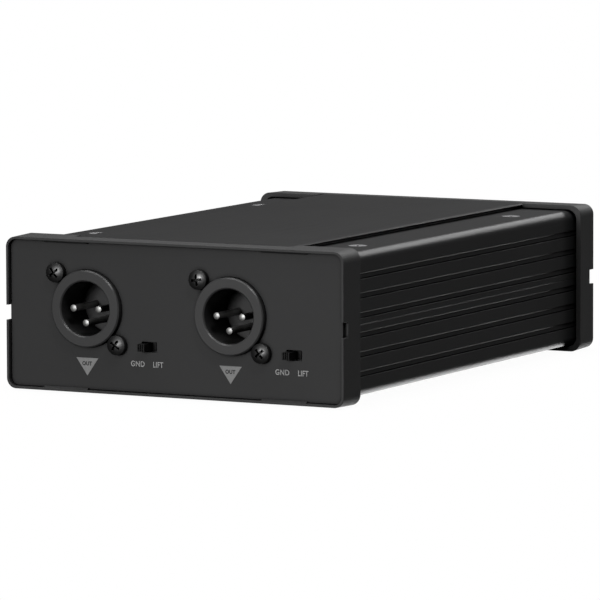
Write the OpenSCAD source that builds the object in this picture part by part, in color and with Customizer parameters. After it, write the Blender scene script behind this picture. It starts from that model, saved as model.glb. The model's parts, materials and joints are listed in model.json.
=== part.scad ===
// Two-channel passive direct injection box in an extruded housing.
// Millimetres. X to the right along the output panel, Y into the depth,
// Z up. The origin is the bottom centre of the footprint, and the output
// panel faces -Y.

/* [Case] */
// Depth over the outer planes of the two bumpers
case_d = 179; // [170:1:200]
// Width over the bumpers at their inner edges
case_w = 118.5; // [117:0.1:124]
// Height over the bumpers at their inner edges
case_h = 48; // [47:0.2:52]
// Width of the extruded body between the bumpers
body_w = 112.5; // [111:0.5:114]
// How far the screw strips lie below the bumpers' inner edges
strip_drop = 1.8; // [1.2:0.05:1.9]
// How far the raised middle of the body lies below the same edges
crown_drop = 0.05; // [0.05:0.05:0.3]
// Radius of the soft edges along the raised middle
crown_r = 6.6; // [5:0.1:8]
// Width of the raised middle of the body
plateau_w = 76; // [70:1:80]
// Corner radius of the body
body_r = 2.8; // [2.5:0.1:4]
// Side wall of the body
side_wall = 2.2; // [2:0.1:2.6]
// Top and bottom wall of the body
flat_wall = 2; // [1.8:0.1:2.4]
// Pitch of the cooling grooves in the sides
groove_pitch = 6; // [5:0.25:6.5]
// Width of one cooling groove
groove_w = 1.65; // [1:0.05:2]
// Depth of the slot along the bottom of a cooling groove
groove_deep = 1; // [0.4:0.1:1.1]

/* [Bumpers and panels] */
// Depth of one bumper
bumper_d = 10.6; // [9:0.1:14]
// Outer corner radius of a bumper at its inner edge
bumper_r = 3.55; // [3:0.05:5]
// Moulding taper of each outer face of a bumper
taper = 0.3; // [0:0.05:0.5]
// Rim thickness around the panel
rim_t = 0.8; // [0.6:0.05:1]
// How far the panel lies behind the rim
recess = 1.5; // [1:0.1:2]
// Panel sheet thickness
panel_t = 1.5; // [1:0.1:2]
// Height of the pry notch in each side of the rim
notch_h = 4.7; // [3:0.1:8]

/* [Connectors] */
// Distance between the two channels
channel_pitch = 50.3; // [50:0.1:51]
// X of the left output connector
left_x = -30.65; // [-31:0.05:-30]
// Height of the output connectors' axes
xlr_z = 26.35; // [26:0.05:27]
// Outer radius of an output connector's ring
xlr_ring_r = 12; // [11.8:0.1:12.4]
// Bore radius of an output connector's cup
xlr_cup_r = 8.55; // [8.2:0.05:8.6]
// Depth of the cup from its ring's face
xlr_cup_deep = 15; // [13:0.5:16]
// Offset of each fixing screw from the connector axis, across and up
xlr_screw_off = 10.8; // [10.6:0.1:11]
// Radius of the circle the contact pins stand on
pin_circle_r = 4.4; // [4.2:0.1:4.7]
// Contact pin radius
pin_r = 1.05; // [1:0.05:1.2]
// Height of the jacks' axes
jack_z = 24; // [23.5:0.1:25]
// Plug bore radius in a jack's bushing
jack_bore_r = 3.25; // [3.2:0.01:3.3]

/* [Slide switches] */
// X of a ground lift switch from its channel's connector
switch_dx = 21.65; // [21:0.05:22]
// Height of the slide switches' knobs
switch_z = 15.38; // [15.2:0.01:15.4]
// Travel of a knob between its two positions
travel = 2.6; // [2:0.1:2.6]
// How far a knob stands out of the panel
knob_out = 3.2; // [1:0.1:3.5]

/* [Board] */
// Underside of the circuit board
board_z = 11; // [11:0.1:11.1]
// Circuit board thickness
board_t = 1.6; // [1.5:0.1:1.6]
// X of the case screws and the posts between the shells
post_x = 45.9; // [45.5:0.1:47]
// Y of the case screws and the posts, both ways from the middle
post_y = 54.4; // [50:0.1:56]

/* [Hidden] */
$fn = 64;

over = 1;
front_y = -case_d / 2;
mid_z = case_h / 2;
right_x = left_x + channel_pitch;
channels = [left_x, right_x];
panel_back = recess + panel_t;
shell_end = panel_back + 0.05;
body_top = case_h - strip_drop;
rim_in_w = case_w - 2 * taper - 2 * rim_t;
rim_in_low = taper + rim_t;
rim_in_r = bumper_r - taper - rim_t;
board_top = board_z + board_t;
crown_run = 2.1;
crown_wall = 3;
edge_drop = 0.45;
under_deep = 1.4;
under_run = 0.7;
groove_lip = 0.3;
groove_floor = 0.35;
groove_slot = 0.4;
groove_up = 0.5;
mill_d = 7;
screw_r = 1.45;
tap_r = 1.5;
head_r = 2.9;
head_cone = 1.6;

anodised = [0.16, 0.16, 0.165];
moulded = [0.11, 0.11, 0.115];
steel = [0.72, 0.72, 0.74];
black_screw = [0.08, 0.08, 0.08];
black_plastic = [0.07, 0.07, 0.07];

// ---------- shared shapes ----------

// Local frame of the output end: y = 0 is the bumper's outer plane and
// +y runs into the box.
module front_end() translate([0, front_y, 0]) children();

// The same frame at the input end, turned half round the vertical.
module rear_end() rotate([0, 0, 180]) front_end() children();

// Rectangle from z0 to z1, centred across, with round corners.
module round_rect(w, z0, z1, r) {
    translate([-w / 2, z0 + r]) square([w, z1 - z0 - 2 * r]);
    translate([-w / 2 + r, z0]) square([w - 2 * r, z1 - z0]);
    for (x = [-w / 2 + r, w / 2 - r], z = [z0 + r, z1 - r])
        translate([x, z]) circle(r);
}

// Extrudes an X-Z outline along +Y from y0 to y1.
module along_y(y0, y1)
    translate([0, y1, 0]) rotate([90, 0, 0]) linear_extrude(y1 - y0)
        children();

// Extrudes a Y-Z outline along X, centred.
module along_x(w)
    rotate([90, 0, 90]) linear_extrude(w, center = true) children();

// Round bar along +Y.
module bar_y(r, y0, y1)
    translate([0, y0, 0]) rotate([-90, 0, 0]) cylinder(h = y1 - y0, r = r);

// Cone along +Y.
module cone_y(r0, r1, y0, y1)
    translate([0, y0, 0]) rotate([-90, 0, 0])
        cylinder(h = y1 - y0, r1 = r0, r2 = r1);

// Round bar along +Z.
module bar_z(r, z0, z1) translate([0, 0, z0]) cylinder(h = z1 - z0, r = r);

// The four places of the posts and the case screws.
module at_posts()
    for (x = [-post_x, post_x], y = [-post_y, post_y])
        translate([x, y, 0]) children();

// Cross recess, opening upwards at z = 0.
module cross_recess(arm, slot, deep)
    for (a = [0, 90]) rotate([0, 0, a])
        translate([-arm / 2, -slot / 2, -deep])
            cube([arm, slot, deep + over]);

// ---------- extruded shells ----------

seam_lip = 1.2;
lip_t = 1;
lip_gap = 0.06;

// Shallow groove with a chamfered upper lip and a deeper slot along its
// square lower lip.
module groove_cut(side, z) {
    x = body_w / 2;
    low = groove_up - groove_w;
    lip = groove_up + groove_lip;
    translate([0, z]) scale([side, 1]) polygon([
        [x + 0.1, lip + 0.1], [x - groove_lip, groove_up],
        [x - groove_floor, groove_up], [x - groove_floor, low + groove_slot],
        [x - groove_deep, low + groove_slot], [x - groove_deep, low],
        [x + 0.1, low]]);
}

module seam_cut(side)
    translate([side * body_w / 2, mid_z]) rotate(45)
        square(0.16, center = true);

// Undercut below the raised middle's edge, at the top right.
module crown_undercut() {
    x = plateau_w / 2;
    lip = case_h - crown_drop - edge_drop;
    polygon([[x + 0.5, lip], [x, lip], [x - under_deep, lip - under_run],
        [x - under_deep, body_top], [x + 0.5, body_top]]);
}

// Raised middle of the body, above and below, with softly curved edges.
module crown()
    intersection() {
        round_rect(plateau_w + 2 * (crown_r - crown_run), crown_drop,
            case_h - crown_drop, crown_r);
        translate([-plateau_w / 2, 0]) square([plateau_w, case_h]);
    }

module body_section() {
    inner_w = body_w - 2 * side_wall;
    difference() {
        union() {
            round_rect(body_w, strip_drop, body_top, body_r);
            difference() {
                crown();
                for (side = [-1, 1], up = [-1, 1])
                    translate([0, mid_z]) scale([side, up])
                        translate([0, -mid_z]) crown_undercut();
            }
        }
        round_rect(inner_w, strip_drop + flat_wall, body_top - flat_wall,
            body_r - flat_wall);
        round_rect(plateau_w - 4 * flat_wall, crown_wall,
            case_h - crown_wall, 1);
        for (side = [-1, 1]) {
            seam_cut(side);
            for (i = [-2.5:1:2.5])
                groove_cut(side, mid_z + i * groove_pitch);
        }
    }
}

// The raised middle is milled off where the bumpers reach over it.
module end_mill(z0, z1)
    for (end = [0, 180])
        rotate([0, 0, end]) front_end()
            translate([-plateau_w / 2 - over, 0, z0])
                cube([plateau_w + 2 * over, mill_d + 0.1, z1 - z0]);

module lip_strips(extra)
    for (side = [-1, 1])
        translate([side * (body_w / 2 - side_wall + lip_t / 2), mid_z])
            square([lip_t + 2 * extra, 2 * (seam_lip + extra)],
                center = true);

module shell_blank(upper) {
    z0 = upper ? mid_z : -over;
    z1 = upper ? case_h + over : mid_z;
    front_end() along_y(shell_end, case_d - shell_end)
        intersection() {
            body_section();
            translate([-case_w, z0]) square([2 * case_w, z1 - z0]);
        }
}

module strip_hole() {
    bar_z(1.65, body_top - flat_wall - over, body_top + over);
    translate([0, 0, body_top - head_cone])
        cylinder(h = head_cone + 0.01, r1 = 1.65, r2 = head_r + 0.2);
}

module shell_upper() {
    color(anodised) difference() {
        shell_blank(true);
        front_end() along_y(0, case_d) lip_strips(lip_gap);
        end_mill(body_top, case_h + over);
        at_posts() strip_hole();
    }
}

module shell_lower() {
    color(anodised) difference() {
        union() {
            shell_blank(false);
            front_end() along_y(shell_end, case_d - shell_end)
                intersection() {
                    lip_strips(0);
                    translate([-case_w, mid_z - over])
                        square([2 * case_w, over + seam_lip]);
                }
        }
        end_mill(-over, strip_drop);
        at_posts() translate([0, 0, case_h]) mirror([0, 0, 1])
            strip_hole();
    }
}

// ---------- bumpers and panels ----------

slip = 0.15;
mouth_slip = 0.4;
mouth_side = 1.4;
mouth_d = 3;
panel_gap = 0.2;
tab_w = 15.6;
tab_x = 38.2;
tab_h = 0.55;

// Block whose outer faces taper in towards y = 0.
module tapered_block() {
    w = case_w;
    h = case_h;
    r = bumper_r;
    t = taper;
    along_x(w - 2 * r)
        polygon([[0, t], [bumper_d, 0], [bumper_d, h], [0, h - t]]);
    translate([0, 0, r]) linear_extrude(h - 2 * r) polygon([
        [-w / 2 + t, 0], [w / 2 - t, 0], [w / 2, bumper_d],
        [-w / 2, bumper_d]]);
    for (x = [-w / 2 + r, w / 2 - r], z = [r, h - r])
        translate([x, 0, z]) cone_y(r - t, r, 0, bumper_d);
}

// Sloped tab that holds the panel's edge, along the bottom of the rim.
module rim_tab() {
    z = rim_in_low - 0.1;
    along_x(tab_w) polygon([
        [0.2, z], [recess - 0.05, z], [recess - 0.05, z + 0.1 + tab_h],
        [recess - 0.3, z + 0.1 + tab_h], [0.2, z + 0.1]]);
}

module bumper() {
    color(moulded) {
        difference() {
            tapered_block();
            along_y(-over, panel_back)
                round_rect(rim_in_w, rim_in_low, case_h - rim_in_low,
                    rim_in_r);
            along_y(panel_back - over, bumper_d + over)
                round_rect(body_w + 2 * slip, strip_drop - slip,
                    body_top + slip, body_r + slip);
            along_y(bumper_d - mouth_d, bumper_d + over)
                round_rect(body_w + 2 * mouth_side,
                    strip_drop - mouth_slip, body_top + mouth_slip,
                    body_r + mouth_slip);
            // Room for the raised middle, through the top and bottom walls
            translate([-plateau_w / 2 - slip, mill_d, -over])
                cube([plateau_w + 2 * slip, bumper_d, case_h + 2 * over]);
            for (side = [-1, 1])
                translate([side * case_w / 2 - 2, -over,
                        mid_z - notch_h / 2])
                    cube([4, over + panel_back + 0.05, notch_h]);
        }
        for (x = [-tab_x, tab_x]) {
            translate([x, 0, 0]) rim_tab();
            translate([x, 0, case_h]) mirror([0, 0, 1]) rim_tab();
        }
    }
}

module front_bumper() front_end() bumper();
module rear_bumper() rear_end() bumper();

module panel_blank()
    along_y(recess, panel_back)
        round_rect(rim_in_w - 2 * panel_gap, rim_in_low + panel_gap,
            case_h - rim_in_low - panel_gap, rim_in_r - panel_gap);

// Window for a slide switch's knob.
window_w = 5.4;
window_h = 3.25;
module switch_window()
    along_y(0, panel_back + over)
        round_rect(window_w, -window_h / 2, window_h / 2, 0.3);

module front_panel() {
    color(anodised) front_end() difference() {
        panel_blank();
        for (x = channels) {
            translate([x, 0, xlr_z]) {
                bar_y(xlr_ring_r + 0.12, 0, panel_back + over);
                for (s = [-1, 1])
                    translate([s * xlr_screw_off, 0, -s * xlr_screw_off])
                        bar_y(1.6, 0, panel_back + over);
            }
            translate([x + switch_dx, 0, switch_z]) switch_window();
        }
    }
}

// ---------- input end positions ----------

// X of the jacks from their channel's centre: link output, then input.
thru_dx = -12.5;
input_dx = 7.5;

// Places children in the input end's own frame at a shared-frame X.
module at_rear(x, z) rear_end() translate([-x, 0, z]) children();

module rear_panel() {
    color(anodised) difference() {
        rear_end() panel_blank();
        for (x = channels) {
            for (dx = [thru_dx, input_dx])
                at_rear(x + dx, jack_z) bar_y(4.9, 0, panel_back + over);
            at_rear(x + switch_dx, switch_z) switch_window();
        }
    }
}

// ---------- case screws and posts ----------

// Countersunk screw, its head's top at z = 0 and its shank down.
module case_screw(shank) {
    difference() {
        union() {
            translate([0, 0, -head_cone])
                cylinder(h = head_cone, r1 = screw_r, r2 = head_r);
            bar_z(screw_r, -shank, -head_cone + 0.01);
        }
        cross_recess(3, 0.75, 0.9);
    }
}

module case_screws_top() {
    color(steel) at_posts() translate([0, 0, body_top - 0.05])
        rotate([0, 0, 20]) case_screw(8);
}

module case_screws_bottom() {
    color(steel) at_posts() translate([0, 0, strip_drop + 0.05])
        mirror([0, 0, 1]) case_screw(5.3);
}

post_r = 3.1;
stud_low = 7.2;

module upper_posts() {
    z1 = body_top - flat_wall;
    color("gold") at_posts() {
        difference() {
            translate([0, 0, board_top])
                cylinder(h = z1 - board_top, r = post_r, $fn = 6);
            bar_z(tap_r, z1 - 12, z1 + over);
        }
        bar_z(screw_r, stud_low, board_top + 0.5);
    }
}

module lower_posts() {
    z0 = strip_drop + flat_wall;
    color("gold") at_posts() difference() {
        translate([0, 0, z0])
            cylinder(h = board_z - z0, r = post_r, $fn = 6);
        bar_z(tap_r, z0 - over, board_z + over);
    }
}

// ---------- output connectors ----------

flange_h = 26.8;
flange_back = panel_back + 3;
barrel_back = 20;
mouth_edge = 0.4;
xlr_front = -0.5;

module at_xlr(x) front_end() translate([x, 0, xlr_z]) children();

module xlr_shell() {
    color(moulded) difference() {
        union() {
            cone_y(xlr_ring_r - mouth_edge, xlr_ring_r, xlr_front,
                xlr_front + mouth_edge);
            bar_y(xlr_ring_r, xlr_front + mouth_edge, panel_back + 0.05);
            along_y(panel_back + 0.05, flange_back)
                round_rect(flange_h, -flange_h / 2, flange_h / 2, 2.5);
            bar_y(11, flange_back - 0.01, barrel_back);
        }
        bar_y(xlr_cup_r, -over, barrel_back + over);
        cone_y(xlr_cup_r + mouth_edge, xlr_cup_r, xlr_front - 0.001,
            xlr_front + mouth_edge);
        for (s = [-1, 1])
            translate([s * xlr_screw_off, 0, -s * xlr_screw_off])
                bar_y(tap_r, 0, flange_back + over);
        // Latch pocket in the roof of the cup
        translate([-2.5, 6.5, xlr_cup_r - 1]) cube([5, 4.5, 2]);
    }
}

// Angles of the three contact pins round the connector axis.
pin_angles = [0, 180, 270];
module at_pins()
    for (a = pin_angles)
        translate([pin_circle_r * cos(a), 0, pin_circle_r * sin(a)])
            children();

module xlr_insert() {
    color(black_plastic) difference() {
        bar_y(xlr_cup_r - 0.03, xlr_front + xlr_cup_deep,
            barrel_back - 0.2);
        at_pins() bar_y(pin_r + 0.02, 0, barrel_back + over);
    }
}

tail_y = 22.5;
tail_r = 0.5;
pin_tip = 0.05;
pin_dome_r = 3;

module xlr_pins() {
    color(steel) for (a = pin_angles) {
        x = pin_circle_r * cos(a);
        z = pin_circle_r * sin(a);
        translate([x, 0, z]) {
            intersection() {
                bar_y(pin_r, pin_tip, pin_tip + pin_dome_r);
                translate([0, pin_tip + pin_dome_r, 0])
                    sphere(pin_dome_r);
            }
            bar_y(pin_r, pin_tip + pin_dome_r, tail_y + 0.7);
        }
        translate([x, tail_y, 0])
            bar_z(tail_r, board_z - 1.2 - xlr_z, z);
    }
}

// Turn of each fixing screw's cross, in degrees.
screw_turns = [[38, 58], [8, 40]];

// Pan head fixing screw, its head's seat at y = 0 and its shank in +Y.
module pan_screw(turn) {
    head = 2.6;
    r = 3.05;
    dome_r = 6;
    difference() {
        intersection() {
            bar_y(r, -head, 0);
            translate([0, dome_r - head, 0]) sphere(dome_r);
        }
        translate([0, -head, 0]) rotate([90, 0, 0]) rotate([0, 0, turn])
            translate([0, 0, 0.15]) cross_recess(3.6, 0.8, 1.5);
    }
    bar_y(screw_r, -0.01, 6);
}

module xlr_screws() {
    color(black_screw) for (c = [0, 1], s = [0, 1]) {
        off = s == 0 ? -xlr_screw_off : xlr_screw_off;
        at_xlr(channels[c]) translate([off, recess, -off])
            pan_screw(screw_turns[c][s]);
    }
}

// ---------- slide switches ----------

// Switch frame: x = 0 in the window's middle, z = 0 on the knob's axis.
module at_lift(x) front_end() translate([x + switch_dx, 0, switch_z])
    children();
module at_pad(x) at_rear(x + switch_dx, switch_z) children();

cover_w = 9;
cover_h = 5.3;
cover_t = 0.4;
cover_front = panel_back + 0.1;
cover_back = 7.8;
base_front = 6;
slot_w = 5.6;
slot_h = 2.7;
knob_w = 2.5;
knob_h = 2.3;
slider_w = 5.2;
terminal_pitch = 2.5;
terminal_y = 8.2;

module switch_cover() {
    color(steel) difference() {
        along_y(cover_front, cover_back)
            round_rect(cover_w, -cover_h / 2, cover_h / 2, 0.5);
        translate([-cover_w / 2 + cover_t, cover_front + cover_t,
                -cover_h / 2 + cover_t])
            cube([cover_w - 2 * cover_t, cover_back,
                cover_h - 2 * cover_t]);
        translate([-slot_w / 2, 0, -slot_h / 2])
            cube([slot_w, cover_back, slot_h]);
    }
}

module switch_base() {
    w = cover_w - 2 * cover_t - 0.1;
    h = cover_h - 2 * cover_t - 0.1;
    color("saddlebrown")
        translate([-w / 2, base_front, -h / 2])
            cube([w, cover_back - base_front, h]);
}

module switch_terminals() {
    leg = 0.35;
    color(steel) for (i = [-1:1]) translate([i * terminal_pitch, 0, 0]) {
        translate([-0.3, cover_back, -leg / 2])
            cube([0.6, terminal_y + leg / 2 - cover_back, leg]);
        translate([-0.3, terminal_y - leg / 2,
                board_z - 1 - switch_z])
            cube([0.6, leg, switch_z - board_z + 1]);
    }
}

// Knob in its left-hand position, seen from outside.
module switch_knob() {
    slider_h = cover_h - 2 * cover_t - 0.2;
    slider_front = cover_front + cover_t + 0.1;
    tip = recess - knob_out;
    color(black_plastic) translate([-travel / 2, 0, 0]) {
        translate([-slider_w / 2, slider_front, -slider_h / 2])
            cube([slider_w, base_front - 0.1 - slider_front, slider_h]);
        difference() {
            translate([-knob_w / 2, tip, -knob_h / 2])
                cube([knob_w, slider_front - tip + 0.5, knob_h]);
            for (x = [-0.62, 0, 0.62])
                translate([x - 0.15, tip - over, -knob_h])
                    cube([0.3, over + 0.35, 2 * knob_h]);
        }
    }
}

module lift_cover_left() at_lift(left_x) switch_cover();
module lift_cover_right() at_lift(right_x) switch_cover();
module lift_base_left() at_lift(left_x) switch_base();
module lift_base_right() at_lift(right_x) switch_base();
module lift_knob_left() at_lift(left_x) switch_knob();
module lift_knob_right() at_lift(right_x) switch_knob();
module lift_terminals_left() at_lift(left_x) switch_terminals();
module lift_terminals_right() at_lift(right_x) switch_terminals();
module pad_cover_left() at_pad(left_x) switch_cover();
module pad_cover_right() at_pad(right_x) switch_cover();
module pad_base_left() at_pad(left_x) switch_base();
module pad_base_right() at_pad(right_x) switch_base();
module pad_knob_left() at_pad(left_x) switch_knob();
module pad_knob_right() at_pad(right_x) switch_knob();
module pad_terminals_left() at_pad(left_x) switch_terminals();
module pad_terminals_right() at_pad(right_x) switch_terminals();

module xlr_shell_left() at_xlr(left_x) xlr_shell();
module xlr_shell_right() at_xlr(right_x) xlr_shell();
module xlr_insert_left() at_xlr(left_x) xlr_insert();
module xlr_insert_right() at_xlr(right_x) xlr_insert();
module xlr_pins_left() at_xlr(left_x) xlr_pins();
module xlr_pins_right() at_xlr(right_x) xlr_pins();

// ---------- jacks ----------

bushing_r = 4.75;
bushing_tip = -1.1;
bushing_back = 7;
jack_w = 15.8;
jack_top = 9.4;
jack_front = panel_back + 0.1;
jack_back = 30.8;
channel_r = 3.8;
contact_ys = [[9, 16], [21, 28.5]];
contact_leg_y = 1.2;

module at_jack(x, dx) at_rear(x + dx, jack_z) children();

module jack_body() {
    low = board_top + 0.05 - jack_z;
    color(black_plastic) difference() {
        translate([-jack_w / 2, jack_front, low])
            cube([jack_w, jack_back - jack_front, jack_top - low]);
        bar_y(bushing_r + 0.03, 0, bushing_back + 0.03);
        bar_y(channel_r, bushing_back, jack_back - 0.7);
        // Upper edges stepped back, as on a moulded jack
        for (s = [-1, 1])
            translate([s * jack_w / 2 - 1.5, 12, jack_top - 2.5])
                cube([3, jack_back, 4]);
        // Shafts for the contacts' legs
        for (c = contact_ys)
            translate([-0.7, c[0] + contact_leg_y - 0.35, low - over])
                cube([1.4, 1, over - low - 1]);
    }
}

module jack_bushing() {
    color(steel) difference() {
        bar_y(bushing_r, bushing_tip, bushing_back);
        bar_y(jack_bore_r, bushing_tip - over, bushing_back + over);
        cone_y(jack_bore_r + 0.4, jack_bore_r, bushing_tip - 0.001,
            bushing_tip + 0.4);
    }
}

module jack_contacts() {
    strip = 0.25;
    z = -3.4 - strip;
    color("gold") for (c = contact_ys) {
        translate([-1, c[0], z]) cube([2, c[1] - c[0], strip]);
        translate([-0.4, c[0] + contact_leg_y, board_z - 1 - jack_z])
            cube([0.8, 0.3, z + 0.1 - board_z + 1 + jack_z]);
    }
}

washer_t = 0.45;
nut_t = 1.95;

module at_all_jacks()
    for (x = channels, dx = [thru_dx, input_dx])
        at_jack(x, dx) children();

module jack_washers() {
    color(steel) at_all_jacks() difference() {
        bar_y(7.1, recess - washer_t, recess);
        bar_y(bushing_r + 0.1, -over, panel_back);
    }
}

module jack_nuts() {
    back = recess - washer_t;
    color(steel) at_all_jacks() difference() {
        intersection() {
            translate([0, back, 0]) rotate([90, 0, 0])
                cylinder(h = nut_t, r = 7.2, $fn = 6);
            cone_y(6.6, 7.6, back - nut_t, back);
        }
        bar_y(bushing_r + 0.02, -over - nut_t, panel_back);
    }
}

module input_jack_left() at_jack(left_x, input_dx) jack_body();
module input_jack_right() at_jack(right_x, input_dx) jack_body();
module thru_jack_left() at_jack(left_x, thru_dx) jack_body();
module thru_jack_right() at_jack(right_x, thru_dx) jack_body();
module input_bushing_left() at_jack(left_x, input_dx) jack_bushing();
module input_bushing_right() at_jack(right_x, input_dx) jack_bushing();
module thru_bushing_left() at_jack(left_x, thru_dx) jack_bushing();
module thru_bushing_right() at_jack(right_x, thru_dx) jack_bushing();
module input_contacts_left() at_jack(left_x, input_dx) jack_contacts();
module input_contacts_right() at_jack(right_x, input_dx)
    jack_contacts();
module thru_contacts_left() at_jack(left_x, thru_dx) jack_contacts();
module thru_contacts_right() at_jack(right_x, thru_dx) jack_contacts();

// ---------- transformers ----------

core_w = 30;
core_h = 25;
core_t = 12;
core_leg = 8;
core_yoke = 4;
core_lift = 0.3;
bobbin_flange = 1;
former_t = 0.9;
former_gap = 0.08;
transformer_y = -6;
flange_y = 11.2;
pin_row_y = 10;

module at_transformer(x) translate([x + 6, transformer_y, board_top])
    children();

window_low = core_lift + core_yoke;
window_high = core_lift + core_h - core_yoke;
window_x = (core_w - core_yoke * 2 - core_leg) / 2;

module transformer_core() {
    color("dimgray") difference() {
        translate([-core_w / 2, -core_t / 2, core_lift])
            cube([core_w, core_t, core_h]);
        for (s = [-1, 1])
            translate([s * (core_leg + window_x) / 2, 0,
                    (window_low + window_high) / 2])
                cube([window_x, core_t + over,
                    window_high - window_low], center = true);
    }
}

former_x = core_leg / 2 + former_gap + former_t;
former_y = core_t / 2 + former_gap + former_t;
flange_x = core_leg / 2 + window_x - 0.1;

module transformer_bobbin() {
    z0 = window_low + 0.1;
    z1 = window_high - 0.1;
    color("ivory") difference() {
        union() {
            translate([-former_x, -former_y, z0])
                cube([2 * former_x, 2 * former_y, z1 - z0]);
            for (z = [z0, z1 - bobbin_flange])
                translate([-flange_x, -flange_y, z])
                    cube([2 * flange_x, 2 * flange_y, bobbin_flange]);
        }
        translate([-core_leg / 2 - former_gap,
                -core_t / 2 - former_gap, 0])
            cube([core_leg + 2 * former_gap,
                core_t + 2 * former_gap, core_h + over]);
    }
}

module transformer_coil() {
    z0 = window_low + 0.1 + bobbin_flange + 0.02;
    z1 = window_high - 0.1 - bobbin_flange - 0.02;
    w = 2 * flange_x - 0.6;
    color("peru") difference() {
        translate([0, 0, z0]) linear_extrude(z1 - z0)
            round_rect(w, -flange_y + 0.4, flange_y - 0.4, 3);
        translate([-former_x - 0.02, -former_y - 0.02, 0])
            cube([2 * former_x + 0.04, 2 * former_y + 0.04, core_h]);
    }
}

pin_row = [-8, 0, 8];

module transformer_pins() {
    top = window_low + 0.1;
    color(steel) for (x = pin_row, s = [-1, 1])
        translate([x, s * pin_row_y, 0])
            bar_z(0.4, -board_t - 1.2, top);
}

module transformer_core_left() at_transformer(left_x)
    transformer_core();
module transformer_core_right() at_transformer(right_x)
    transformer_core();
module transformer_bobbin_left() at_transformer(left_x)
    transformer_bobbin();
module transformer_bobbin_right() at_transformer(right_x)
    transformer_bobbin();
module transformer_coil_left() at_transformer(left_x)
    transformer_coil();
module transformer_coil_right() at_transformer(right_x)
    transformer_coil();
module transformer_pins_left() at_transformer(left_x)
    transformer_pins();
module transformer_pins_right() at_transformer(right_x)
    transformer_pins();

// ---------- small parts on the board ----------

resistor_span = 10;
resistor_ys = [22, 27, 32, 37];
capacitor_span = 5;
capacitor_ys = [-28, -34];
lead_r = 0.3;

module at_channel_rows(ys)
    for (x = channels, y = ys) translate([x + 6, y, board_top])
        children();

module leads(span, z) {
    for (s = [-1, 1]) translate([s * span / 2, 0, 0]) {
        bar_z(lead_r, -board_t - 0.9, z);
        translate([0, 0, z]) sphere(lead_r);
    }
}

module resistors() {
    z = 1.6;
    color("tan") at_channel_rows(resistor_ys) {
        translate([-3.2, 0, z]) rotate([0, 90, 0])
            cylinder(h = 6.4, r = 1.15);
        translate([-resistor_span / 2, 0, z]) rotate([0, 90, 0])
            cylinder(h = resistor_span, r = lead_r);
        leads(resistor_span, z);
    }
}

module capacitors() {
    color("crimson") at_channel_rows(capacitor_ys) {
        translate([-3.6, -1.3, 0.4]) cube([7.2, 2.6, 6.5]);
        leads(capacitor_span, 1);
    }
}

// ---------- circuit board ----------

board_end = 4;

module drill(x, y, r) translate([x, y, 0])
    bar_z(r, board_z - over, board_top + over);

module main_board() {
    w = 104;
    color("darkgreen") difference() {
        translate([-w / 2, front_y + board_end, board_z])
            cube([w, case_d - 2 * board_end, board_t]);
        at_posts() bar_z(screw_r + 0.15, board_z - over,
            board_top + over);
        for (c = channels) {
            for (a = pin_angles)
                drill(c + pin_circle_r * cos(a), front_y + tail_y,
                    tail_r + 0.1);
            for (i = [-1:1], s = [-1, 1])
                drill(c + switch_dx + i * terminal_pitch,
                    s * (case_d / 2 - terminal_y), 0.5);
            for (dx = [thru_dx, input_dx], y = contact_ys)
                drill(c + dx, case_d / 2 - y[0] - contact_leg_y - 0.15,
                    0.6);
            for (x = pin_row, s = [-1, 1])
                drill(c + 6 + x, transformer_y + s * pin_row_y, 0.5);
            for (y = resistor_ys, s = [-1, 1])
                drill(c + 6 + s * resistor_span / 2, y, lead_r + 0.1);
            for (y = capacitor_ys, s = [-1, 1])
                drill(c + 6 + s * capacitor_span / 2, y, lead_r + 0.1);
        }
    }
}

// ---------- nodes ----------

shell_upper();
shell_lower();
front_bumper();
rear_bumper();
front_panel();
rear_panel();
case_screws_top();
case_screws_bottom();
upper_posts();
lower_posts();
xlr_shell_left();
xlr_shell_right();
xlr_insert_left();
xlr_insert_right();
xlr_pins_left();
xlr_pins_right();
xlr_screws();
lift_cover_left();
lift_cover_right();
lift_base_left();
lift_base_right();
lift_knob_left();
lift_knob_right();
lift_terminals_left();
lift_terminals_right();
pad_cover_left();
pad_cover_right();
pad_base_left();
pad_base_right();
pad_knob_left();
pad_knob_right();
pad_terminals_left();
pad_terminals_right();
input_jack_left();
input_jack_right();
thru_jack_left();
thru_jack_right();
input_bushing_left();
input_bushing_right();
thru_bushing_left();
thru_bushing_right();
input_contacts_left();
input_contacts_right();
thru_contacts_left();
thru_contacts_right();
jack_nuts();
jack_washers();
main_board();
transformer_core_left();
transformer_core_right();
transformer_bobbin_left();
transformer_bobbin_right();
transformer_coil_left();
transformer_coil_right();
transformer_pins_left();
transformer_pins_right();
resistors();
capacitors();
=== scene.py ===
import json
import math

import bmesh
import bpy
from mathutils import Matrix, Vector


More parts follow.
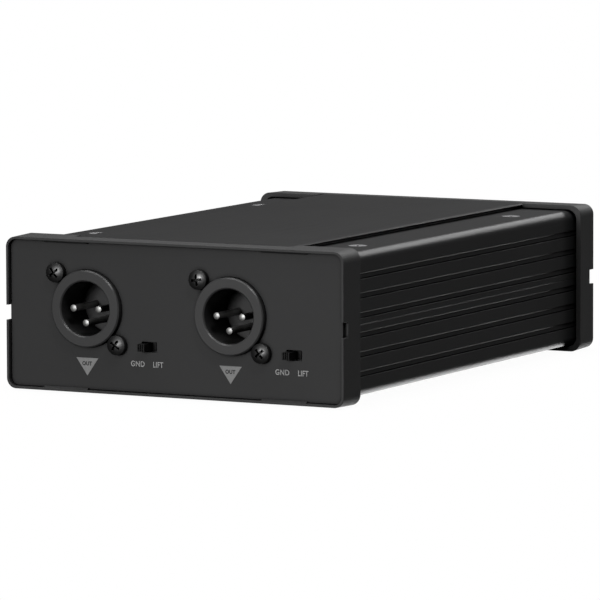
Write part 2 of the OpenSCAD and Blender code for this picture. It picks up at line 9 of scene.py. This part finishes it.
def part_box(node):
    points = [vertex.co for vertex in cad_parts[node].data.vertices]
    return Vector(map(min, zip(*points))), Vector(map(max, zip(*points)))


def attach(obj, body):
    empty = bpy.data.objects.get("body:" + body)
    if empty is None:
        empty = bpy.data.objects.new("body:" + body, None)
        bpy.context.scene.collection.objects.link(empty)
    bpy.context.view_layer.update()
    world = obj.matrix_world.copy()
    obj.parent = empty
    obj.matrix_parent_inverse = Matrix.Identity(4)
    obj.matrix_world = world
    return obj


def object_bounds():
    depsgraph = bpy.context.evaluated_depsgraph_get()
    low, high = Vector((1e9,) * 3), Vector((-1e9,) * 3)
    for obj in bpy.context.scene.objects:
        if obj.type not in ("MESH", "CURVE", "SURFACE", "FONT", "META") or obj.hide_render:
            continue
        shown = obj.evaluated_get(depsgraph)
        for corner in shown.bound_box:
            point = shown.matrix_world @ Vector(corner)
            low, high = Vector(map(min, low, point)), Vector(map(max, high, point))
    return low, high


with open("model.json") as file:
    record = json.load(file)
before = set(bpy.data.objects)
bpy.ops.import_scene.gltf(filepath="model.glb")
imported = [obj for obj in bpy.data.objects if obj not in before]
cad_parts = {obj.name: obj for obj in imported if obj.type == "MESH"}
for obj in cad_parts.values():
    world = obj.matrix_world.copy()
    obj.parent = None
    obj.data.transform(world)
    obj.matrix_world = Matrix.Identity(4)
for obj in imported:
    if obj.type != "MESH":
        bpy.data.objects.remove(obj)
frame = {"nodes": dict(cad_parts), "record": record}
cad_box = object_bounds()

MM = 0.001
CASE = "case"
PANEL_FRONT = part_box("front_panel")[0].y
PANEL_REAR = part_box("rear_panel")[1].y


def middle_x(node):
    """Middle of a CAD node along the panel, in mm."""
    low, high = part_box(node)
    return (low.x + high.x) / 2 / MM


def add_to_scene(obj):
    """Links a new object into the scene and returns it."""
    bpy.context.scene.collection.objects.link(obj)
    return obj


# ---------- material building blocks ----------

SAMPLES = 6
# Sockets of the colour mix node, which has one set of inputs per data type.
MIX_FACTOR, MIX_A, MIX_B, MIX_COLOUR = 0, 6, 7, 2
EVEN = (1, 1, 1)
ALONG_Y = (1, 0.02, 1)


def grey(level, tint=0.0):
    """A grey; tint above 0 makes it slightly blue."""
    return (level, level, level * (1 + tint))


class Nodes:
    """A short way to build a material's node tree."""

    def __init__(self, name):
        self.mat = bpy.data.materials.new(name)
        self.mat.use_nodes = True
        self.tree = self.mat.node_tree
        self.tree.nodes.clear()
        self.out = self.tree.nodes.new("ShaderNodeOutputMaterial")
        self.bsdf = self.tree.nodes.new("ShaderNodeBsdfPrincipled")
        self.link(self.bsdf.outputs[0], self.out.inputs["Surface"])
        self.place = self.tree.nodes.new("ShaderNodeTexCoord").outputs["Object"]

    def link(self, output, socket):
        self.tree.links.new(output, socket)

    def feed(self, value, socket):
        """Links an output to a socket, or gives the socket a plain value."""
        if hasattr(value, "is_linked"):
            self.link(value, socket)
        elif socket.type == "RGBA":
            socket.default_value = (*value, 1)
        else:
            socket.default_value = value

    def node(self, kind, **values):
        """A new node. A value is for the input of that name, or else a setting."""
        made = self.tree.nodes.new(kind)
        for key, value in values.items():
            if key in made.inputs:
                self.feed(value, made.inputs[key])
            else:
                setattr(made, key, value)
        return made

    def set(self, **values):
        """Values for the surface shader; an underscore stands for a space."""
        for key, value in values.items():
            self.feed(value, self.bsdf.inputs[key.replace("_", " ")])

    def noise(self, scale, detail=3.0, rough=0.6, stretch=EVEN):
        """Noise from 0 to 1, at scale waves per metre."""
        spot = self.node("ShaderNodeMapping", Vector=self.place, Scale=stretch)
        return self.node("ShaderNodeTexNoise", Vector=spot.outputs[0], Scale=scale,
                         Detail=detail, Roughness=rough).outputs["Fac"]

    def bands(self, axis, scale):
        """Even ridges from 0 to 1, stacked along an axis."""
        return self.node("ShaderNodeTexWave", wave_type="BANDS", bands_direction=axis,
                         Vector=self.place, Scale=scale).outputs["Fac"]

    def ramp(self, value, low, high, start=0.3, end=0.7):
        """Goes from low to high while value goes from start to end."""
        made = self.node("ShaderNodeMapRange", Value=value)
        for key, number in (("From Min", start), ("From Max", end),
                            ("To Min", low), ("To Max", high)):
            made.inputs[key].default_value = number
        return made.outputs[0]

    def mix(self, share, a, b):
        """Colour a, going over to b as share goes from 0 to 1."""
        made = self.node("ShaderNodeMix", data_type="RGBA")
        for value, slot in ((share, MIX_FACTOR), (a, MIX_A), (b, MIX_B)):
            self.feed(value, made.inputs[slot])
        return made.outputs[MIX_COLOUR]

    def calc(self, kind, a, b):
        """An operation on two values, such as ADD or MULTIPLY."""
        made = self.node("ShaderNodeMath", operation=kind)
        self.feed(a, made.inputs[0])
        self.feed(b, made.inputs[1])
        return made.outputs[0]

    def patchy(self, low, high, scale, rough=0.6):
        """A colour that wanders between two close ones."""
        return self.mix(self.ramp(self.noise(scale, rough=rough), 0, 1), low, high)

    def edge(self, radius):
        """1 where the surface turns within radius of the point, 0 on flats."""
        bevel = self.node("ShaderNodeBevel", samples=SAMPLES, Radius=radius)
        geometry = self.node("ShaderNodeNewGeometry")
        dot = self.node("ShaderNodeVectorMath", operation="DOT_PRODUCT")
        self.link(bevel.outputs[0], dot.inputs[0])
        self.link(geometry.outputs["Normal"], dot.inputs[1])
        return self.ramp(dot.outputs["Value"], 1.0, 0.0, start=0.8, end=0.99)

    def openness(self, reach):
        """1 in the open, falling to 0 in gaps and corners narrower than reach."""
        shade = self.node("ShaderNodeAmbientOcclusion", samples=SAMPLES, Distance=reach)
        return self.ramp(shade.outputs["AO"], 0.0, 1.0, start=0.25, end=0.85)

    def painted_shade(self, openness, colour):
        """The colour with painted shade, nearly black where openness is low."""
        return self.mix(openness, grey(0.004), colour)

    def bump(self, heights, rounding=0.0):
        """heights: (height output, depth in metres) pairs, added in turn."""
        last = None
        if rounding:
            last = self.node("ShaderNodeBevel", samples=SAMPLES, Radius=rounding).outputs[0]
        for height, depth in heights:
            made = self.node("ShaderNodeBump", Strength=1.0, Distance=depth, Height=height)
            if last is not None:
                self.link(last, made.inputs["Normal"])
            last = made.outputs[0]
        self.link(last, self.bsdf.inputs["Normal"])


# ---------- materials ----------


def anodised(name, level, rough, reach, grain=5200, stretch=ALONG_Y):
    """Black anodised aluminium: blasted grain, faint drawing streaks."""
    n = Nodes(name)
    fine = n.noise(grain, detail=2)
    streak = n.noise(900, stretch=stretch)
    openness = n.openness(reach)
    colour = n.patchy(grey(level * 0.94, 0.02), grey(level * 1.06, 0.02), 22)
    # Painted shade: the colour goes nearly black and the reflection dims in grooves, gaps and
    # corners within reach.
    n.set(Base_Color=n.painted_shade(openness, colour),
          Roughness=n.calc("ADD", n.ramp(fine, -0.03, 0.03),
                           n.ramp(streak, rough - 0.015, rough + 0.015)),
          Specular_IOR_Level=n.calc("MULTIPLY", openness, 0.5))
    n.bump([(fine, 0.01 * MM), (streak, 0.003 * MM)], rounding=0.12 * MM)
    return n.mat


def plastic(name, level, rough, grain=5200, depth=0.01 * MM, rounding=0.1 * MM,
            shine=0.5, reach=1 * MM):
    """Moulded plastic with a spark-eroded grain, lighter and smoother in patches at its
    edges: partly wear, partly a painted edge highlight.
    """
    n = Nodes(name)
    fine = n.noise(grain)
    # Patches along the edges: partly wear, partly a painted edge highlight.
    wear_and_edge_sheen = n.calc("MULTIPLY", n.edge(0.4 * MM),
                    n.ramp(n.noise(420, detail=4, rough=0.7), 0, 1, start=0.5, end=0.75))
    openness = n.openness(reach)
    colour = n.mix(n.calc("MULTIPLY", wear_and_edge_sheen, 0.2),
                   n.patchy(grey(level * 0.93, 0.01), grey(level * 1.07, 0.01), 35),
                   grey(level * 2.0, 0.01))
    # Painted shade: the colour goes nearly black and the reflection dims in gaps, rims and
    # corners within reach.
    n.set(Base_Color=n.painted_shade(openness, colour),
          Roughness=n.calc("SUBTRACT", n.ramp(fine, rough - 0.05, rough + 0.05),
                           n.calc("MULTIPLY", wear_and_edge_sheen, 0.06)),
          Specular_IOR_Level=n.calc("MULTIPLY", openness, shine))
    n.bump([(fine, depth)], rounding)
    return n.mat


def metal(name, colour, rough, brush=EVEN, depth=0.01 * MM, reach=0.8 * MM):
    """Bare or plated metal with tool marks and light tarnish."""
    n = Nodes(name)
    marks = n.noise(1800, rough=0.65, stretch=brush)
    tarnish = n.ramp(n.noise(180, detail=4), 0, 1, start=0.4, end=0.75)
    mixed = n.mix(tarnish, colour, tuple(c * 0.75 for c in colour))
    # Painted shade: the colour goes nearly black in recesses and gaps within reach, such as
    # screw slots and connector cups.
    n.set(Base_Color=n.painted_shade(n.openness(reach), mixed),
          Roughness=n.calc("ADD", n.ramp(marks, rough - 0.05, rough + 0.06),
                           n.calc("MULTIPLY", tarnish, 0.08)),
          Metallic=1.0)
    n.bump([(marks, depth)], rounding=0.08 * MM)
    return n.mat


def coloured(name, colour, rough):
    """Plain moulded or coated part in one colour."""
    n = Nodes(name)
    fine = n.noise(2500)
    mixed = n.patchy(tuple(c * 0.85 for c in colour), colour, 150)
    # Painted shade: the colour goes nearly black in hollows and gaps within reach.
    n.set(Base_Color=n.painted_shade(n.openness(2 * MM), mixed),
          Roughness=n.ramp(fine, rough - 0.05, rough + 0.07))
    n.bump([(fine, 0.012 * MM)], rounding=0.1 * MM)
    return n.mat


def printed(name, level):
    """Screen printed ink: slightly uneven cover over the blasted panel."""
    n = Nodes(name)
    fine = n.noise(5200, detail=2)
    cover = n.ramp(n.noise(1500, detail=4, rough=0.7), 0, 1, start=0.25, end=0.55)
    n.set(Base_Color=n.mix(cover, grey(level * 0.82), grey(level * 1.04)),
          Roughness=n.ramp(fine, 0.55, 0.7))
    n.bump([(fine, 0.008 * MM)])
    return n.mat


def circuit_board(name):
    """Green lacquer over a fine glass weave."""
    n = Nodes(name)
    weave = n.noise(2600, detail=2, rough=0.5)
    n.set(Base_Color=n.patchy((0.012, 0.075, 0.03), (0.02, 0.11, 0.045), 60, rough=0.5),
          Roughness=n.ramp(weave, 0.28, 0.42))
    n.bump([(weave, 0.01 * MM)])
    return n.mat


def winding(name):
    """Layers of fine enamelled wire."""
    n = Nodes(name)
    n.set(Base_Color=n.patchy((0.28, 0.09, 0.03), (0.45, 0.17, 0.06), 120),
          Roughness=0.35, Metallic=0.4)
    n.bump([(n.bands("Z", 900.0), 0.06 * MM)])
    return n.mat


def laminated(name):
    """Stacked iron sheets, edges to the front."""
    n = Nodes(name)
    cloud = n.noise(200, detail=4)
    n.set(Base_Color=n.mix(n.ramp(cloud, 0, 1), grey(0.09), grey(0.2)),
          Roughness=n.ramp(cloud, 0.4, 0.6), Metallic=0.8)
    n.bump([(n.bands("Y", 450.0), 0.05 * MM)])
    return n.mat


# Each material slot of the record: how it is made, and from which values.
# reach: how far out, in metres, the painted shade in gaps and hollows looks for nearby
# surfaces.
FINISHES = {
    "anodised": (anodised, {"level": 0.026, "rough": 0.40, "reach": 0.6 * MM}),
    "panel_black": (anodised, {"level": 0.028, "rough": 0.55, "reach": 2 * MM,
                               "grain": 6500, "stretch": EVEN}),
    "bumper_plastic": (plastic, {"level": 0.045, "rough": 0.55, "grain": 3600,
                                 "depth": 0.03 * MM, "rounding": 0.3 * MM,
                                 "reach": 3 * MM}),
    "connector_shell": (plastic, {"level": 0.066, "rough": 0.34, "depth": 0.008 * MM,
                                  "reach": 12 * MM}),
    "insert_black": (plastic, {"level": 0.035, "rough": 0.55, "depth": 0.012 * MM}),
    "knob_black": (plastic, {"level": 0.006, "rough": 0.5, "shine": 0.3}),
    "jack_body": (plastic, {"level": 0.02, "rough": 0.35, "rounding": 0.2 * MM}),
    "pin_silver": (metal, {"colour": (0.53, 0.53, 0.52), "rough": 0.45,
                           "brush": (1, 8, 1), "reach": 6 * MM}),
    "black_screw": (metal, {"colour": grey(0.15), "rough": 0.36, "reach": 2 * MM}),
    "screw_steel": (metal, {"colour": (0.58, 0.58, 0.59), "rough": 0.42}),
    "nut_steel": (metal, {"colour": (0.42, 0.42, 0.43), "rough": 0.3,
                          "depth": 0.002 * MM}),
    "bushing_nickel": (metal, {"colour": (0.70, 0.70, 0.69), "rough": 0.24,
                               "depth": 0.002 * MM}),
    "post_brass": (metal, {"colour": (0.72, 0.55, 0.27), "rough": 0.25}),
    "contact_brass": (metal, {"colour": (0.75, 0.6, 0.32), "rough": 0.25}),
    "terminal_tin": (metal, {"colour": grey(0.75), "rough": 0.3}),
    "switch_cover": (metal, {"colour": (0.16, 0.16, 0.165), "rough": 0.4,
                             "reach": 3 * MM}),
    "switch_base": (coloured, {"colour": (0.035, 0.022, 0.013), "rough": 0.5}),
    "bobbin_nylon": (coloured, {"colour": (0.65, 0.62, 0.52), "rough": 0.5}),
    "resistor_body": (coloured, {"colour": (0.30, 0.45, 0.60), "rough": 0.4}),
    "capacitor_body": (coloured, {"colour": (0.45, 0.07, 0.04), "rough": 0.35}),
    "core_steel": (laminated, {}),
    "coil_copper": (winding, {}),
    "board": (circuit_board, {}),
}
MATERIALS = {name: make(name, **values) for name, (make, values) in FINISHES.items()}

for part in frame["record"]["subparts"]:
    mesh = frame["nodes"][part["node"]].data
    mesh.materials.clear()
    mesh.materials.append(MATERIALS[part["material_slot"]])


# ---------- printed legends ----------

INK = printed("ink", 0.36)
INK_BOLD = printed("ink_bold", 0.52)
INK_DARK = printed("ink_dark", 0.006)
INK_DEPTH = 0.03 * MM

# A panel's outer face, then 1 if its words read along +X and it faces -Y, or -1 if its
# words read along -X and it faces +Y.
FRONT = (PANEL_FRONT, 1)
REAR = (PANEL_REAR, -1)

# The triangle under an output connector and the word on it, in mm.
TRIANGLE_SHIFT = -0.29
TRIANGLE_TOP = 11.0
TRIANGLE_LOW = 5.5
TRIANGLE_HALF = 3.88
OUT_SHIFT = -0.34
OUT_LOW = 8.6
OUT_HEIGHT = 1.3
OUT_WIDTH = 3.45
OUT_WEIGHT = 0.035

# The other words: height and thickness of the capitals, and the two rows' low edges.
CAPITAL = 1.75
WEIGHT = 0.015
SWITCH_ROW = 9.18
JACK_ROW = 10.3
# name, text, panel, the node it stands under, shift from its middle, low edge, width
WORDS = (
    ("gnd", "GND", FRONT, "lift_cover", -4.07, SWITCH_ROW, 4.8),
    ("lift", "LIFT", FRONT, "lift_cover", 3.11, SWITCH_ROW, 3.5),
    ("thru", "THRU", REAR, "thru_jack", 0.0, JACK_ROW, 5.6),
    ("in", "INPUT", REAR, "input_jack", 0.0, JACK_ROW, 6.6),
    ("zero", "0", REAR, "pad_cover", 3.45, SWITCH_ROW, 1.3),
    ("pad", "-20", REAR, "pad_cover", -3.75, SWITCH_ROW, 3.6),
)


def finish_plate(name, bm, material):
    """Closes a plate's mesh, gives it the given ink and fixes it to the case."""
    bmesh.ops.remove_doubles(bm, verts=bm.verts, dist=1e-7)
    bmesh.ops.recalc_face_normals(bm, faces=bm.faces)
    mesh = bpy.data.meshes.new(name)
    bm.to_mesh(mesh)
    bm.free()
    mesh.materials.append(material)
    obj = add_to_scene(bpy.data.objects.new(name, mesh))
    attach(obj, CASE)


def text_mesh(name, text, weight):
    """The text in the built-in font, as a solid one unit deep around Z 0."""
    curve = bpy.data.curves.new(name, "FONT")
    curve.body = text
    curve.resolution_u = 4
    curve.extrude = 0.5
    curve.offset = weight
    curve.space_character = 1.08
    holder = add_to_scene(bpy.data.objects.new(name + "_outline", curve))
    bpy.context.view_layer.update()
    mesh = bpy.data.meshes.new_from_object(
        holder.evaluated_get(bpy.context.evaluated_depsgraph_get()))
    bpy.data.objects.remove(holder)
    bpy.data.curves.remove(curve)
    return mesh


def word(name, text, panel, centre, low, height, width, material,
         lift=0.0, weight=WEIGHT):
    """Plain capitals as thin closed plates on a panel; places and sizes in mm."""
    face, reading = panel
    mesh = text_mesh(name, text, weight)
    bm = bmesh.new()
    bm.from_mesh(mesh)
    bpy.data.meshes.remove(mesh)
    xs = [v.co.x for v in bm.verts]
    ys = [v.co.y for v in bm.verts]
    left, bottom = min(xs), min(ys)
    across = width / (max(xs) - left)
    upward = height / (max(ys) - bottom)
    for v in bm.verts:
        x = (v.co.x - left) * across - width / 2
        z = low + (v.co.y - bottom) * upward
        out = lift + (INK_DEPTH if v.co.z > 0 else 0.0)
        v.co = ((centre + reading * x) * MM, face - reading * out, z * MM)
    finish_plate(name, bm, material)


def triangle(name, centre):
    """Solid triangle, point down, on the output panel."""
    bm = bmesh.new()
    outline = ((centre - TRIANGLE_HALF, TRIANGLE_TOP),
               (centre + TRIANGLE_HALF, TRIANGLE_TOP), (centre, TRIANGLE_LOW))
    inner, outer = [[bm.verts.new((x * MM, PANEL_FRONT - out, z * MM))
                     for x, z in outline] for out in (0.0, INK_DEPTH)]
    bm.faces.new(inner)
    bm.faces.new(outer)
    for i in range(3):
        j = (i + 1) % 3
        bm.faces.new((inner[i], inner[j], outer[j], outer[i]))
    finish_plate(name, bm, INK)


for side in ("left", "right"):
    output_x = middle_x(f"xlr_shell_{side}")
    triangle(f"legend_triangle_{side}", output_x + TRIANGLE_SHIFT)
    word(f"legend_out_{side}", "OUT", FRONT, output_x + OUT_SHIFT, OUT_LOW, OUT_HEIGHT,
         OUT_WIDTH, INK_DARK, lift=INK_DEPTH, weight=OUT_WEIGHT)
    for name, text, panel, over, shift, low, width in WORDS:
        word(f"legend_{name}_{side}", text, panel, middle_x(f"{over}_{side}") + shift,
             low, CAPITAL, width, INK_BOLD)


# ---------- floor, light, camera ----------

FLOOR_HALF = 30.0
FLOOR_DROP = 0.2 * MM
WORLD_LIGHT = 0.02
LIGHT_AIM = (cad_box[0] + cad_box[1]) / 2
# name, place, size (metres), power (watts)
LIGHTS = (
    ("key_top", (0.0, 0.1, 1.2), (1.3, 1.0), 16.8),
    ("key_front", (-0.25, -2.0, 0.3), (0.6, 0.4), 15.9),
    ("edge_light", (0.66, -0.68, 1.2), (0.25, 0.25), 3.6),
    ("back_high", (0.15, 1.15, 0.62), (0.9, 0.28), 3.0),
    ("back_low", (-0.12, 1.15, -0.56), (0.9, 0.28), 3.5),
    ("side_fill", (0.75, 1.3, -0.1), (0.5, 0.6), 0.07),
)

CAMERA_PLACE = Vector((0.86172, -1.64495, 0.22079))
CAMERA_YAW = math.radians(27.727)
CAMERA_PITCH = math.radians(6.112)
CAMERA_ROLL = -0.0031
CAMERA_LENS = 350.49
CAMERA_SENSOR = 36


def pale_floor():
    """White to the camera with a faint shade at the object, clear from below."""
    mesh = bpy.data.meshes.new("floor")
    half = FLOOR_HALF
    mesh.from_pydata([(-half, -half, 0), (half, -half, 0), (half, half, 0), (-half, half, 0)],
                     [], [(0, 1, 2, 3)])
    floor = add_to_scene(bpy.data.objects.new("floor", mesh))
    floor.location.z = -FLOOR_DROP
    n = Nodes("floor")
    strength = n.ramp(n.openness(20 * MM), 0.97, 1.0, start=0.0, end=1.0)
    glow = n.node("ShaderNodeEmission", Color=grey(1.0), Strength=strength)
    clear = n.node("ShaderNodeBsdfTransparent")
    from_below = n.node("ShaderNodeNewGeometry").outputs["Backfacing"]
    mix = n.node("ShaderNodeMixShader")
    for output, socket in zip((from_below, glow.outputs[0], clear.outputs[0]), mix.inputs):
        n.link(output, socket)
    n.link(mix.outputs[0], n.out.inputs["Surface"])
    mesh.materials.append(n.mat)
    floor.visible_glossy = False
    floor.visible_diffuse = False
    floor.visible_shadow = False


def studio_world():
    """White to the camera and nearly dark to everything else."""
    world = bpy.data.worlds.new("studio")
    world.use_nodes = True
    tree = world.node_tree
    tree.nodes.clear()
    out = tree.nodes.new("ShaderNodeOutputWorld")
    mix = tree.nodes.new("ShaderNodeMixShader")
    path = tree.nodes.new("ShaderNodeLightPath")
    tree.links.new(path.outputs["Is Camera Ray"], mix.inputs[0])
    for slot, strength in ((1, WORLD_LIGHT), (2, 1.0)):
        glow = tree.nodes.new("ShaderNodeBackground")
        glow.inputs["Color"].default_value = (1, 1, 1, 1)
        glow.inputs["Strength"].default_value = strength
        tree.links.new(glow.outputs[0], mix.inputs[slot])
    tree.links.new(mix.outputs[0], out.inputs[0])
    bpy.context.scene.world = world


def area_light(name, place, size, power):
    """A soft rectangle of light, aimed at the object's middle."""
    data = bpy.data.lights.new(name, "AREA")
    data.shape = "RECTANGLE"
    data.size, data.size_y = size
    data.energy = power
    light = add_to_scene(bpy.data.objects.new(name, data))
    light.location = place
    aim = LIGHT_AIM - Vector(place)
    light.rotation_euler = aim.to_track_quat("-Z", "Y").to_euler()
    light.visible_camera = False


def studio_camera():
    """Looks down and to the left, with its content turned slightly by the roll."""
    forward = Vector((-math.sin(CAMERA_YAW) * math.cos(CAMERA_PITCH),
                      math.cos(CAMERA_YAW) * math.cos(CAMERA_PITCH),
                      -math.sin(CAMERA_PITCH)))
    level = Vector((math.cos(CAMERA_YAW), math.sin(CAMERA_YAW), 0))
    upright = level.cross(forward)
    right = level * math.cos(CAMERA_ROLL) + upright * math.sin(CAMERA_ROLL)
    up = upright * math.cos(CAMERA_ROLL) - level * math.sin(CAMERA_ROLL)
    data = bpy.data.cameras.new("camera")
    data.sensor_width = CAMERA_SENSOR
    data.lens = CAMERA_LENS
    data.clip_start = 0.05
    data.clip_end = 60
    camera = add_to_scene(bpy.data.objects.new("camera", data))
    turn = Matrix((right, up, -forward)).transposed()
    camera.matrix_world = Matrix.Translation(CAMERA_PLACE) @ turn.to_4x4()
    bpy.context.scene.camera = camera


pale_floor()
studio_world()
for light in LIGHTS:
    area_light(*light)
studio_camera()
bpy.context.scene.view_settings.view_transform = "Standard"
bpy.context.scene.view_settings.look = "None"
